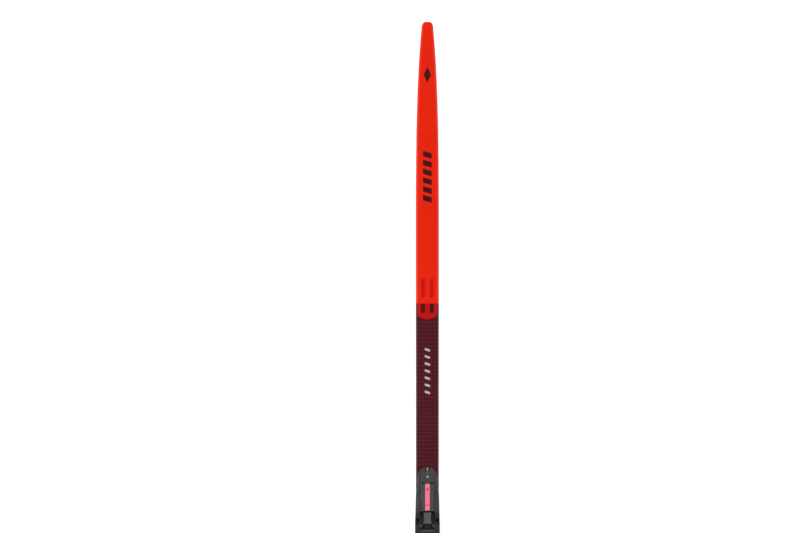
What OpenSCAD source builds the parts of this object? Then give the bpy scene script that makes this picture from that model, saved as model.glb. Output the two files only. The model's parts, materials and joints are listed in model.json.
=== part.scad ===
// Racing cross country ski with a toe-bar binding on a sliding rail plate.
// +X points to the tip, +Y to the left edge, +Z up. The ski lies on its running base.
// The origin is on the ground at mid-length. All sizes are in millimetres.

/* [Ski] */
// Length from tip to tail
ski_length = 1880; // [1840:5:1920]
// Width at the waist
waist_width = 43; // [42:0.5:44]
// Widest front width, behind the tip
shovel_width = 43.5; // [43:0.5:45]
// Width near the tail
tail_width = 44; // [43:0.5:45]
// Height of the base's arch at the middle, unloaded
camber = 10; // [6:1:12]
// Thickness of the ski at mid-length
mid_thickness = 25; // [24:0.5:27]
// Thickness at the tip
tip_thickness = 7; // [6.5:0.5:8]
// Thickness at the tail
tail_thickness = 8; // [7.5:0.5:9]
// Rise of the tip above the ground
tip_rise = 34; // [28:1:40]
// Rise of the tail above the ground
tail_rise = 9; // [6:1:12]
// Width of the bevel along each top edge
bevel_width = 2.8; // [2.4:0.2:3]
// Height of the bevel along each top edge
bevel_height = 4; // [3.6:0.2:4]

/* [Layers] */
// Running base thickness
base_thickness = 1.3; // [1:0.1:1.5]
// Lower laminate thickness
lower_laminate_thickness = 0.8; // [0.6:0.1:0.9]
// Upper laminate thickness
upper_laminate_thickness = 0.7; // [0.6:0.1:0.8]
// Topsheet thickness
topsheet_thickness = 0.9; // [0.8:0.1:1]
// Sidewall width
sidewall_width = 2.2; // [2:0.1:2.4]
// Depth of the guide groove in the base
groove_depth = 0.8; // [0.5:0.1:0.9]

/* [Binding] */
// Toe bar's distance behind mid-length
toe_setback = 17; // [10:1:25]
// Diameter of the boot's toe bar
toe_bar_diameter = 4; // [3.9:0.1:4.1]
// Height of the toe bar above the ski
toe_bar_height = 9; // [9:0.1:9.2]
// How far the lever opens, in degrees
lever_angle = 50; // [40:1:50]
// How far the binding shifts each way along its plate
shift_travel = 8; // [4:1:8]
// Width of the housing beside the boot
housing_width = 46.8; // [45:0.2:47]

/* [Hidden] */
$fn = 48;

// Ski, along its length
half_length = ski_length / 2;
tip_zone = 200;      // from the tip to the front contact point
tail_zone = 120;     // from the tail to the rear contact point
front_contact = half_length - tip_zone;
rear_contact = tail_zone - half_length;
arch_middle = (front_contact + rear_contact) / 2;
arch_half = (front_contact - rear_contact) / 2;
deck_z = camber + mid_thickness;     // height of the flat deck under the binding
deck_front = 110 - toe_setback;      // the deck is flat between these two
deck_rear = -306 - toe_setback;
shovel_zone = 420;   // the front width tapers over this length
tip_round = 9;       // length of the rounded tip
tip_power = 2.6;     // how square its corners are
tip_flat = 5.2;      // half-width of the blunt end
tail_radius = 8;     // corner radius of the tail
groove_half = 4;
tip_block = 70;      // length of the tip spacer
tail_block = 25;     // length of the tail protector
bevel_run = bevel_width / bevel_height;
topsheet_edge = 1.1; // land of the topsheet on the sidewall
laminate_edge = 0.8; // land of the upper laminate beside it
inner_stringer = [2.5, 6.5];
outer_stringer = 10; // from here out to the sidewall
reinforcement_thickness = 0.8;
mill_step = 0.02;    // length over which the stringers' tops step down

// Binding, in the frame of the toe bar: x ahead of the bar, z above the deck
bar_r = toe_bar_diameter / 2 + 0.05;
plate_x = [-300, 99];
flange_half = 15;
web_half = 12.5;
flange_z = [2, 4];
gap = 0.2;           // running gap between the housing and the plate
floor_z = flange_z[1] + gap;
jaw_z = [5.1, 6.6];
tunnel_z = [4.9, 6.8];
tunnel_half = 7.3;
jaw_half = 7;
housing_x = [-75, 73];
nose_x = [73.2, 116.2];
pivot = [36, 12.1];
crank_r = 4.5;
crank_z = pivot[1] - crank_r;
crank_pin_r = 1.25;
crank_half = 2.35;   // half-width of the crank arm
lever_pin_r = 1.5;
knuckle_r = 3.4;
barrel_half = 21.4;  // the hinge barrel runs across the whole housing
barrel_r = 3.25;
hinge_seam = [37.8, 38.7];
flank_seams = [[18, 31.6], [40.4, 66]]; // ahead of and behind the hinge barrel
jaw_travel = crank_r * sin(lever_angle) - 0.05;
spring_x = [39.6, 55]; // from the jaw's ears to the wall in front of them
lever_half = 12.4;
lever_front = 85;
bay_half = lever_half + 0.4;
screw_x = 98;
screw_r = 1.5;
screw_head_r = 2.6;
ridge_y = 14.3;
ridge_half = 1.3;
ridge_top = 9.6;
pad_z = 6.6;         // top of the mouldings that carry the boot sole
bar_notch = 2.5;     // half-width of the notches beside the toe bar
heel_x = [-262, -190];
strip_x = [-232, -40];
strip_half = 5;
strip_z = [3.1, 3.9];

// ---------- curves of the ski ----------

function mix(a, b, t) = a + (b - a) * t;
function clamp01(t) = min(1, max(0, t));
function ease(t) = let (s = clamp01(t)) s * s * (3 - 2 * s);

function arch(u) = camber * pow(1 - u * u, 2);
function bottom_z(x) =
    x > front_contact ? tip_rise * pow((x - front_contact) / tip_zone, 2.2) :
    x < rear_contact ? tail_rise * pow((rear_contact - x) / tail_zone, 2) :
    arch((x - arch_middle) / arch_half);
function bottom_slope(x) = (bottom_z(x + 1) - bottom_z(x - 1)) / 2;

// Thickness leaves the flat deck at its own slope and eases to the end's.
function taper(s, span, t0, slope0, t1, slope1) =
    t0 * (2 * s * s * s - 3 * s * s + 1) + span * slope0 * (s * s * s - 2 * s * s + s)
    + t1 * (3 * s * s - 2 * s * s * s) + span * slope1 * (s * s * s - s * s);
function end_taper(x, deck_end, tip_x, t_end, end_slope) =
    let (span = abs(tip_x - deck_end), way = sign(tip_x - deck_end))
    taper(abs(x - deck_end) / span, span, deck_z - bottom_z(deck_end),
        -way * bottom_slope(deck_end), t_end, -end_slope);
function thickness(x) =
    x > deck_front ? end_taper(x, deck_front, half_length, tip_thickness, 0.012) :
    x < deck_rear ? end_taper(x, deck_rear, -half_length, tail_thickness, 0.02) :
    deck_z - bottom_z(x);

function shovel(d) = shovel_width * (1 - 0.529 * pow(max(0, 1 - d / shovel_zone), 3.38));
function rounded_tip(d) =
    d < tip_round ? pow(1 - pow(1 - d / tip_round, tip_power), 1 / tip_power) : 1;
function rounded_tail(d) =
    d < tail_radius ? sqrt(pow(tail_radius, 2) - pow(tail_radius - d, 2)) - tail_radius : 0;
function half_width(x) =
    let (from_tip = half_length - x, from_tail = half_length + x)
    from_tip < shovel_zone ? max(tip_flat, shovel(from_tip) * rounded_tip(from_tip) / 2) :
    from_tip < half_length ? mix(shovel_width, waist_width, ease((from_tip - 420) / 300)) / 2 :
    mix(waist_width, tail_width, ease((from_tip - 1150) / 500)) / 2
        - 2 * ease(1 - from_tail / 110) + rounded_tail(from_tail);

// Stations crowd towards the two ends, and stand at every place where a layer begins or ends.
function span_steps(a, b, n) = [for (i = [1 : n]) mix(a, b, i / n)];
core_front = half_length - tip_block;
core_rear = tail_block - half_length;
stations = concat(
    [for (i = [0 : 6]) -half_length + tail_block * pow(i / 6, 2)],
    span_steps(core_rear, rear_contact, 3),
    span_steps(rear_contact, deck_rear, 8),
    span_steps(deck_rear, deck_front, 7),
    span_steps(deck_front, front_contact, 11),
    span_steps(front_contact, core_front, 5),
    [for (i = [8 : -1 : 0]) half_length - tip_block * pow(i / 9, 2)]
);
function between(x0, x1, steps) =
    let (inside = [for (x = stations) if (x > x0 + 0.4 && x < x1 - 0.4) x])
    concat([x0], [
        for (x = inside) each
            x == steps[0] ? [x - mill_step, x] : x == steps[1] ? [x, x + mill_step] : [x]
    ], [x1]);

// ---------- layers of the ski ----------

// A layer is swept between a lower and an upper chain of points, left edge to right edge.
// Both chains have as many points, so that each end is closed by four-sided pieces.
module layer(x0, x1, lower, upper, steps = []) {
    xs = between(x0, x1, steps);
    n = len(lower(x0));
    rings = [for (x = xs) [for (p = concat(lower(x), upper(x))) [x, p[0], p[1] + bottom_z(x)]]];
    last = len(xs) - 1;
    function at(i, j) = i * 2 * n + j;
    skin = [
        for (i = [0 : last - 1]) for (j = [0 : n - 2]) each [
            [at(i, j), at(i, j + 1), at(i + 1, j + 1)],
            [at(i, j), at(i + 1, j + 1), at(i + 1, j)],
            [at(i, n + j), at(i + 1, n + j), at(i + 1, n + j + 1)],
            [at(i, n + j), at(i + 1, n + j + 1), at(i, n + j + 1)],
        ]
    ];
    sides = [
        for (i = [0 : last - 1]) each [
            [at(i, 0), at(i + 1, 0), at(i + 1, n)],
            [at(i, 0), at(i + 1, n), at(i, n)],
            [at(i, n - 1), at(i, 2 * n - 1), at(i + 1, 2 * n - 1)],
            [at(i, n - 1), at(i + 1, 2 * n - 1), at(i + 1, n - 1)],
        ]
    ];
    ends = [
        for (j = [0 : n - 2]) each [
            [at(0, j), at(0, n + j), at(0, n + j + 1), at(0, j + 1)],
            [at(last, j), at(last, j + 1), at(last, n + j + 1), at(last, n + j)],
        ]
    ];
    polyhedron(points = [for (r = rings) each r], faces = concat(skin, sides, ends));
}

// Chains across the ski: a flat one, and a cap that drops at both bevels.
function flat_chain(y, z) = [[-y, z], [y, z]];
function cap_chain(x, edge, drop) =
    let (y0 = half_width(x) - edge, y1 = y0 - bevel_run * (bevel_height - drop), t = thickness(x))
    [[-y0, t - bevel_height], [-y1, t - drop], [y1, t - drop], [y0, t - bevel_height]];
function groove_chain(x) =
    let (h = half_width(x), g = min(groove_half, h - 2),
        d = groove_depth * ease((half_length - 60 - abs(x)) / 90) + 0.02)
    [[-h, 0], [-g, 0], [-g, d], [g, d], [g, 0], [h, 0]];
function over_groove_chain(x) =
    let (h = half_width(x), g = min(groove_half, h - 2), z = base_thickness)
    [[-h, z], [-g - 0.5, z], [-g + 0.5, z], [g - 0.5, z], [g + 0.5, z], [h, z]];

under_core = base_thickness + lower_laminate_thickness;
skin_drop = topsheet_thickness + upper_laminate_thickness;
laminate_land = topsheet_edge + laminate_edge;

module base()
    color("#1b1b1d")
    layer(-half_length, half_length, function(x) groove_chain(x), function(x) over_groove_chain(x));

module lower_laminate()
    color("#2d2d30")
    layer(-half_length, half_length,
        function(x) flat_chain(half_width(x), base_thickness),
        function(x) flat_chain(half_width(x), under_core));

module topsheet()
    color("#e52b12")
    layer(-half_length, half_length,
        function(x) cap_chain(x, topsheet_edge, topsheet_thickness),
        function(x) cap_chain(x, 0, 0));

module upper_laminate()
    color("#3a3a3e")
    layer(-half_length, half_length,
        function(x) cap_chain(x, laminate_land, skin_drop),
        function(x) cap_chain(x, topsheet_edge, topsheet_thickness));

module sidewall(side) {
    function strip(x, z) =
        let (h = half_width(x), inner = h - sidewall_width)
        side > 0 ? [[inner, z], [h, z]] : [[-h, z], [-inner, z]];
    layer(core_rear, core_front,
        function(x) strip(x, under_core), function(x) strip(x, thickness(x) - bevel_height));
}
module sidewall_left() color("#26262a") sidewall(1);
module sidewall_right() color("#26262a") sidewall(-1);

// The end pieces fill the whole space of core and sidewalls.
module end_block(x0, x1)
    layer(x0, x1,
        function(x) let (h = half_width(x), c = cap_chain(x, laminate_land, skin_drop))
            [for (y = [-h, c[0][0], c[1][0], c[2][0], c[3][0], h]) [y, under_core]],
        function(x) let (h = half_width(x), c = cap_chain(x, laminate_land, skin_drop))
            concat([[-h, c[0][1]]], c, [[h, c[0][1]]]));
module tip_spacer() color("#111114") end_block(core_front, half_length);
module tail_protector() color("#111114") end_block(-half_length, core_rear);

// Four stringers of light wood with air channels between them. Under the binding their tops
// are milled down for the reinforcement.
function milled(x) = x >= deck_rear && x <= deck_front ? reinforcement_thickness : 0;
module stringer(side, inner) {
    function lower(x) =
        let (out = half_width(x) - sidewall_width)
        inner ? [for (y = inner_stringer) [y, under_core]] :
        [[outer_stringer, under_core], [outer_stringer + 1, under_core], [out, under_core]];
    function upper(x) =
        let (t = thickness(x), c = cap_chain(x, sidewall_width, skin_drop + milled(x)))
        inner ? [for (y = inner_stringer) [y, t - skin_drop - milled(x)]] :
        [[outer_stringer, c[2][1]], [flat_half(x), c[2][1]], c[3]];
    mirror([0, side > 0 ? 0 : 1, 0])
        layer(core_rear, core_front,
            function(x) lower(x), function(x) upper(x), [deck_rear, deck_front]);
}
module core_stringers()
    color("#d8b98a")
    for (side = [-1, 1]) for (inner = [true, false]) stringer(side, inner);

// Sheet that spreads the binding's load, let into the top of the core.
function flat_half(x) = half_width(x) - sidewall_width - bevel_run * (bevel_height - skin_drop);
module binding_reinforcement()
    color("#8d8a80")
    layer(deck_rear, deck_front,
        function(x) flat_chain(flat_half(x), thickness(x) - skin_drop - reinforcement_thickness),
        function(x) flat_chain(flat_half(x), thickness(x) - skin_drop));

// ---------- helpers for the binding ----------

module at_toe() translate([-toe_setback, 0, deck_z]) children();
module prism_x(x) translate([x[0], 0, 0]) rotate([90, 0, 90]) linear_extrude(x[1] - x[0]) children();
module prism_y(width) rotate([90, 0, 0]) linear_extrude(width, center = true) children();
module block(x, y, z) translate([x[0], y[0], z[0]]) cube([x[1] - x[0], y[1] - y[0], z[1] - z[0]]);
module across(x, y, z) block(x, [-y, y], z);
module rod(p, r, width) translate([p[0], 0, p[1]]) rotate([90, 0, 0])
    cylinder(r = r, h = width, center = true);
module both_sides() for (side = [0, 1]) mirror([0, side, 0]) children();
module span_rect(x, z) translate([x[0], z[0]]) square([x[1] - x[0], z[1] - z[0]]);

// ---------- mounting plate ----------

rack_pitch = 4;
module plate_section()
    polygon([[-web_half, 0], [web_half, 0], [web_half, flange_z[0]], [flange_half, flange_z[0]],
        [flange_half, flange_z[1]], [-flange_half, flange_z[1]], [-flange_half, flange_z[0]],
        [-web_half, flange_z[0]]]);
module mounting_plate()
    color("#2b2b2e") at_toe()
    difference() {
        intersection() {
            prism_x(plate_x) plate_section();
            linear_extrude(flange_z[1]) hull()
                for (end = [plate_x[0] + 8, plate_x[1] - 8]) for (y = [-7, 7])
                    translate([end, y]) circle(8);
        }
        across([plate_x[0] + 10, 30], strip_half + 0.3, [3, flange_z[1] + 1]);
        across([50, plate_x[1] + 1], 5.4, [-1, 1.7]);
        across([screw_x - shift_travel - 2.2, plate_x[1] + 1], 2.2, [-1, flange_z[1] + 1]);
        both_sides() for (x = [-182 : rack_pitch : -84])
            block([x, x + rack_pitch / 2], [flange_half - 1.2, flange_half + 1], [3, flange_z[1] + 1]);
    }

// ---------- toe housing ----------

function housing_half(x) =
    x > 69 ? mix(21.6, 18.9, ease((x - 69) / 4)) :
    x > 8 ? mix(housing_width / 2, 21.6, (x - 8) / 61) :
    x > -65 ? housing_width / 2 :
    housing_width / 2 - 10 + sqrt(max(0, 100 - pow(x + 65, 2)));
housing_edge = concat([for (x = [-75 : 1 : -66]) x], [-65, 8], [for (x = [69 : 1 : 73]) x]);
module housing_plan()
    polygon(concat([for (x = housing_edge) [x, housing_half(x)]],
        [for (i = [len(housing_edge) - 1 : -1 : 0]) [housing_edge[i], -housing_half(housing_edge[i])]]));
// Side view: low beside the boot, then a rounded shoulder up to the lever's hinge.
module housing_side()
    polygon(concat(
        [[housing_x[0], 0.25], [housing_x[1], 0.25], [housing_x[1], 12.4], [58, 14], [42, 15.5]],
        [[32.4, 15.5]],
        [for (a = [80 : -10 : 0]) [21 + 11.4 * sin(a), 12.5 - 6 * cos(a) + 3 * sin(a)]],
        [[housing_x[0] + 4, 6.4], [housing_x[0], 5]]));
module shoulders(z0, z1)
    polygon([[-24, 0], [24, 0], [24, z0], [15.5, z1], [-15.5, z1], [-24, z0]]);
module plate_channel(x)
    prism_x(x) polygon([
        [-web_half - 0.3, -1], [web_half + 0.3, -1], [web_half + 0.3, flange_z[0] - gap],
        [flange_half + gap, flange_z[0] - gap], [flange_half + gap, floor_z], [-flange_half - gap, floor_z],
        [-flange_half - gap, flange_z[0] - gap], [-web_half - 0.3, flange_z[0] - gap]]);

module boot_ridges(x)
    both_sides() block(x, [ridge_y - ridge_half, ridge_y + ridge_half], [floor_z, ridge_top]);

module corner_hollow()
    translate([0, 0, 1.6]) linear_extrude(20) hull()
        for (p = [[17.2, 17.9], [16.8, 19.6], [13.6, 17.7]]) translate(p) circle(2.3);

module toe_housing()
    color("#3f3f42") at_toe()
    difference() {
        union() {
            intersection() {
                linear_extrude(20) housing_plan();
                prism_y(60) housing_side();
                prism_x([housing_x[0] - 1, housing_x[1] + 1]) shoulders(7.5, 16);
            }
            boot_ridges([-68, 3]);
            both_sides() block([3, 6.6], [9.4, 15.4], [floor_z, ridge_top]);
            rod(pivot, barrel_r, 2 * barrel_half);
            // Tongue under the nose cover
            across([70, 92], 11.8, [floor_z, tunnel_z[1] - 1.2]);
        }
        plate_channel([housing_x[0] - 1, housing_x[1] + 30]);
        // Bay of the lever and the jaw's drive
        difference() {
            across([31.6, housing_x[1] + 1], bay_half, [tunnel_z[1] - 1.2, 30]);
            across([spring_x[1], spring_x[1] + 1.6], 9, [0, 10.2]);
        }
        across([31.6, spring_x[1]], tunnel_half, [tunnel_z[0], 30]);
        // Bay of the flexor, deeper at both sides, and the tunnel of the jaw below it
        across([9, 31.7], 14, [8, 30]);
        both_sides() block([9, 31.7], [8.6, 14], [5.2, 30]);
        across([2.9, 40], tunnel_half, tunnel_z);
        across([2.9, 10.2], 6.4, [tunnel_z[0], 30]);
        // Pocket of the bar seat, with the slot where the bar drops in
        across([-6, 3], 11.6, [tunnel_z[0], 30]);
        // Well of the sole pad
        across([-66, -8], 11.6, [5.4, 30]);
        // Notches that let the ends of the toe bar through the ridges
        across([-bar_notch, bar_notch], 30, [pad_z, 30]);
        // Hollows at the boot's front corners, and the seams of the flanks, the hinge and the ridges
        both_sides() {
            corner_hollow();
            translate([9.3, 20.2, 2]) cylinder(r = 1.7, h = 20);
            for (x = flank_seams) block(x, [19.3, 20.2], [9.2, 30]);
            block(hinge_seam, [bay_half - 1, 17.4], [14.6, 30]);
            block([-64, 8], [ridge_y + ridge_half, ridge_y + ridge_half + 0.9], [4.7, 30]);
        }
        rod(pivot, lever_pin_r, 2 * barrel_half + 1);
        translate([strip_x[0] + 182, 0, floor_z - 1]) cylinder(r = 2.05, h = 1.8);
    }

// ---------- nose ----------

nose_width = 18.9;   // half-width where it meets the housing
nose_shoulder = 95;  // from here it curves in to the front
nose_blunt = 0.4;    // cut off at the very front
function nose_half(x) =
    let (way = (x - nose_shoulder) / (nose_x[1] + nose_blunt - nose_shoulder))
    x < nose_shoulder ? nose_width : nose_width * sqrt(max(0, 1 - way * way));
nose_edge = concat([nose_x[0]], [for (a = [0 : 7.5 : 90]) mix(nose_shoulder, nose_x[1], sin(a))]);
module nose_plan()
    polygon(concat([for (x = nose_edge) [x, nose_half(x)]],
        [for (i = [len(nose_edge) - 1 : -1 : 0]) [nose_edge[i], -nose_half(nose_edge[i])]]));
module nose_side()
    polygon(concat([[nose_x[0], 0.25], [nose_x[1], 0.25]],
        [for (a = [0 : 9 : 90]) [nose_x[1] - 31 + 31 * cos(a), 2.2 + 11.6 * sin(a)]],
        [[nose_x[0], 13.4]]));
module index_shapes() {
    across([109.2, 115.2], 1.25, [2.5, 20]);
    translate([105, 0, 0]) cylinder(r = 1.1, h = 20);
}
// Seam a little inside the nose's outline, along both sides
seam_inset = [3.2, 4];
seam_x = [for (x = [76 : 3 : 106]) x];
module nose_seams()
    both_sides() linear_extrude(20) polygon(concat(
        [for (x = seam_x) [x, nose_half(x) - seam_inset[0]]],
        [for (i = [len(seam_x) - 1 : -1 : 0]) [seam_x[i], nose_half(seam_x[i]) - seam_inset[1]]]));
module nose_blank()
    intersection() {
        linear_extrude(20) nose_plan();
        prism_y(60) nose_side();
        prism_x([nose_x[0] - 1, nose_x[1] + 1]) shoulders(6, 15.4);
    }
module nose_cover()
    color("#454548") at_toe()
    difference() {
        nose_blank();
        plate_channel([nose_x[0] - 1, nose_x[1] - 8.6]);
        across([nose_x[0] - 1, lever_front + 0.5], bay_half, [tunnel_z[1] - 1.2, 30]);
        across([nose_x[0] - 1, 92.3], 12, [floor_z - 0.1, tunnel_z[1] - 1.1]);
        translate([screw_x, 0, 0]) cylinder(r = screw_r + 0.1, h = 20);
        translate([screw_x, 0, 8.5]) cylinder(r = screw_head_r + 0.9, h = 20);
        across([nose_x[0], screw_x + 5.6], 5.4, [-1, 1.9]);
        nose_skin() union() {
            index_shapes();
            across([108.4, nose_x[1] + 1], 5, [2.5, 20]);
            nose_seams();
        }
        // Two notches that let a pole tip get under the lever
        both_sides() block([lever_front, 87.6], [5.4, 11.4], [9.5, 30]);
    }
// The part of the nose's outer skin that lies inside a shape
module nose_skin()
    difference() {
        intersection() {
            nose_blank();
            children();
        }
        translate([0, 0, -0.8]) nose_blank();
    }
module index_marks() color("#9a9794") at_toe() nose_skin() index_shapes();

// ---------- position lock ----------

module clamp_strip()
    color("#8f9194") at_toe()
    difference() {
        across([60, screw_x + 4.5], 5, [0.3, 1.5]);
        translate([screw_x, 0, -1]) cylinder(r = screw_r + 0.05, h = 5);
    }
module lock_screw()
    color("#b8babd") at_toe() translate([screw_x, 0, 0])
    difference() {
        union() {
            translate([0, 0, 0.5]) cylinder(r = screw_r, h = 9);
            translate([0, 0, 8.7]) cylinder(r = screw_head_r, h = 2.1);
        }
        for (turn = [0, 90]) rotate([0, 0, turn]) across([-1.8, 1.8], 0.4, [10, 12]);
    }

// ---------- toe bar seat and jaw ----------

module bar_seat()
    color("#55575b") at_toe()
    difference() {
        union() {
            across([-5.8, 2.9], 11.4, [tunnel_z[0] + 0.05, 8.6]);
            across([-5.8, -1], 11.4, [8, 10.6]);
        }
        rod([0, toe_bar_height], bar_r, 30);
        across([-bar_r, 5], 12, [toe_bar_height, 12]);
    }
hook_top = 12;
module jaw_hook()
    prism_y(12)
    difference() {
        union() {
            span_rect([3.4, 6.4], [jaw_z[0], hook_top]);
            span_rect([0.6, 6.4], [9.2, hook_top]);
        }
        translate([0, toe_bar_height]) circle(bar_r);
        polygon([[0, hook_top + 1], [0, hook_top - 0.7], [3.4, hook_top], [3.4, hook_top + 1]]);
    }
module jaw()
    color("#6b6d70") at_toe()
    difference() {
        union() {
            jaw_hook();
            across([3.4, 41], jaw_half, jaw_z);
            both_sides() block([32.6, 39.4], [5, jaw_half], [jaw_z[0], 10.3]);
        }
        across([32, 46], 4.9, [0, 9]);
        translate([pivot[0], 0, crank_z]) rotate([90, 0, 0])
            cylinder(r = crank_pin_r + 0.35, h = 30, center = true);
        across([pivot[0] - crank_pin_r - 0.35, pivot[0] + crank_pin_r + 0.35], 8, [crank_z, 12]);
    }

// Two springs push the jaw shut: they stand between the jaw's ears and a wall of the housing.
spring_turns = 5;
module coil(r, wire_r, length) {
    steps = 16 * spring_turns;
    sides = 6;
    function centre(i) = let (a = 360 * i / 16) [length * i / steps, r * cos(a), r * sin(a)];
    function ring(i) =
        let (a = 360 * i / 16)
        [for (k = [0 : sides - 1]) let (b = 360 * k / sides)
            centre(i) + [wire_r * sin(b), wire_r * cos(b) * cos(a), wire_r * cos(b) * sin(a)]];
    points = [for (i = [0 : steps]) each ring(i)];
    function at(i, k) = i * sides + k % sides;
    faces = concat(
        [for (i = [0 : steps - 1]) for (k = [0 : sides - 1]) each
            [[at(i, k), at(i, k + 1), at(i + 1, k + 1)], [at(i, k), at(i + 1, k + 1), at(i + 1, k)]]],
        [[for (k = [sides - 1 : -1 : 0]) at(0, k)], [for (k = [0 : sides - 1]) at(steps, k)]]);
    polyhedron(points = points, faces = faces);
}
module jaw_springs()
    color("#9da0a3") at_toe()
    both_sides() translate([spring_x[0] + 0.4, 6, 7.8]) coil(1.6, 0.35, spring_x[1] - spring_x[0] - 0.8);

// ---------- lever ----------

function lever_top(x) = mix(15.5, 14.3, (x - pivot[0]) / (lever_front - pivot[0]));
module lever_side()
    polygon([[pivot[0], lever_top(pivot[0])], [lever_front - 3, lever_top(lever_front - 3)],
        [lever_front, lever_top(lever_front) - 1.2], [lever_front, 9.5], [lever_front - 2, 8.6],
        [60, 8.2], [pivot[0] + 4, 8.8], [pivot[0], pivot[1]]]);
module lever_hollow()
    polygon([[pivot[0] + 2, lever_top(38) - 2], [lever_front - 6, lever_top(79) - 2],
        [lever_front - 6, 0], [pivot[0] + 2, 0]]);
// The inlay stands a little proud, from the rounded front edge to the hinge's knuckle.
inlay_half = 4.4;
inlay_x = [pivot[0], lever_front - 3, lever_front - 0.2];
inlay_z = [-0.8, 0.35]; // its lower and upper face, from the lever's top
function inlay_edge(lift) =
    [for (x = inlay_x) [x, lever_top(x) + lift - (x == inlay_x[2] ? 1 : 0)]];
function inlay_roll(lift, angles) =
    [for (a = angles) pivot + (knuckle_r + lift) * [cos(a), sin(a)]];
module inlay_side()
    polygon(concat(
        [for (i = [2 : -1 : 0]) inlay_edge(inlay_z[1])[i]], inlay_roll(inlay_z[1], [100, 110]),
        inlay_roll(inlay_z[0], [110, 100]), inlay_edge(inlay_z[0])));
module lever()
    color("#48484b") at_toe()
    difference() {
        union() {
            difference() {
                prism_y(2 * lever_half) union() {
                    lever_side();
                    translate(pivot) circle(knuckle_r);
                }
                prism_y(2 * lever_half - 3.6) lever_hollow();
                // Room for the jaw's ears on both sides of the crank
                both_sides() block([28, 44], [4.75, 7.3], [0, 13]);
                // Sloping flanks, and the seam behind the plate
                both_sides() prism_x([28, 90])
                    polygon([[10.4, 15.8], [12.5, 13.9], [14, 13.9], [14, 17], [10.4, 17]]);
                both_sides() block(hinge_seam, [inlay_half + 0.7, lever_half + 1], [14.8, 20]);
            }
            // Crank between the ears
            prism_y(9) union() {
                translate(pivot) circle(knuckle_r);
                translate([pivot[0], crank_z]) circle(crank_half);
                span_rect([pivot[0] - crank_half, pivot[0] + crank_half], [crank_z, pivot[1]]);
            }
        }
        rod(pivot, lever_pin_r + 0.05, 60);
        rod([pivot[0], crank_z], crank_pin_r, 60);
        prism_y(2 * inlay_half) inlay_side();
    }
module lever_inlay() color("#ff7f92") at_toe() prism_y(2 * inlay_half) inlay_side();
module lever_pin() color("#a4a6a9") at_toe() rod(pivot, lever_pin_r, 2 * barrel_half - 0.4);
module crank_pin() color("#a4a6a9") at_toe() rod([pivot[0], crank_z], crank_pin_r, 14);

// ---------- flexor and pads ----------

flexor_x = [9.4, 30.6];
flexor_half = 7.6;
flexor_waist = 6.3;     // half-width at its narrowest
flexor_waist_x = 22;
flexor_hollow = 45;     // radius of its curved sides
module flexor_plan()
    difference() {
        translate([flexor_x[0], -flexor_half]) square([flexor_x[1] - flexor_x[0], 2 * flexor_half]);
        for (side = [-1, 1]) translate([flexor_waist_x, side * (flexor_waist + flexor_hollow)])
            circle(flexor_hollow, $fn = 180);
    }
module flexor()
    color("#5a5a5c") at_toe()
    intersection() {
        linear_extrude(20) flexor_plan();
        prism_y(30) polygon([[10.4, 8], [flexor_x[1], 8], [flexor_x[1], 13.4], [27, 14.8], [11, 15.6],
            [flexor_x[0], 14.8], [flexor_x[0], 12.6], [10.4, 12.3]]);
    }
module grooved_pad(x, z, pitch)
    difference() {
        across(x, 11.4, z);
        for (g = [x[0] + pitch : pitch : x[1] - pitch / 2])
            across([g - 0.5, g + 0.5], 9, [z[1] - 0.6, z[1] + 1]);
    }
module toe_pad() color("#3a3a3c") at_toe() grooved_pad([-65.8, -8.2], [5.4, pad_z + 0.8], 6);

// ---------- heel ----------

module heel_plan()
    hull() for (x = [heel_x[0] + 8, heel_x[1] - 8]) for (y = [-15, 15]) translate([x, y]) circle(8);
module heel_plate()
    color("#3f3f42") at_toe()
    difference() {
        union() {
            translate([0, 0, 0.25]) linear_extrude(pad_z - 0.25) heel_plan();
            intersection() {
                boot_ridges([heel_x[0] + 3, heel_x[1] - 3]);
                linear_extrude(20) heel_plan();
            }
        }
        plate_channel([heel_x[0] - 1, heel_x[1] + 1]);
        across([heel_x[0] + 5.8, heel_x[1] - 5.8], 11.6, [5.4, 30]);
        translate([strip_x[0] + 10, 0, floor_z - 1]) cylinder(r = 2.05, h = 1.8);
    }
module heel_pad() color("#303032") at_toe() grooved_pad([heel_x[0] + 6, heel_x[1] - 6], [5.4, 8.4], 5);

// Steel band that ties the heel plate to the toe housing, with a peg at each end.
module link_strip()
    color("#a4a6a9") at_toe() {
        across(strip_x, strip_half, strip_z);
        for (x = [strip_x[0] + 10, strip_x[0] + 182])
            translate([x, 0, strip_z[1] - 0.4]) cylinder(r = 2, h = 1.4);
    }

base();
lower_laminate();
core_stringers();
sidewall_left();
sidewall_right();
upper_laminate();
topsheet();
tip_spacer();
tail_protector();
binding_reinforcement();
mounting_plate();
toe_housing();
nose_cover();
index_marks();
clamp_strip();
bar_seat();
flexor();
lever_pin();
jaw_springs();
toe_pad();
link_strip();
heel_plate();
heel_pad();
lever();
lever_inlay();
crank_pin();
jaw();
lock_screw();
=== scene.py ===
import json
import math

import bmesh
import bpy
from mathutils import Matrix, Vector


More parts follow.
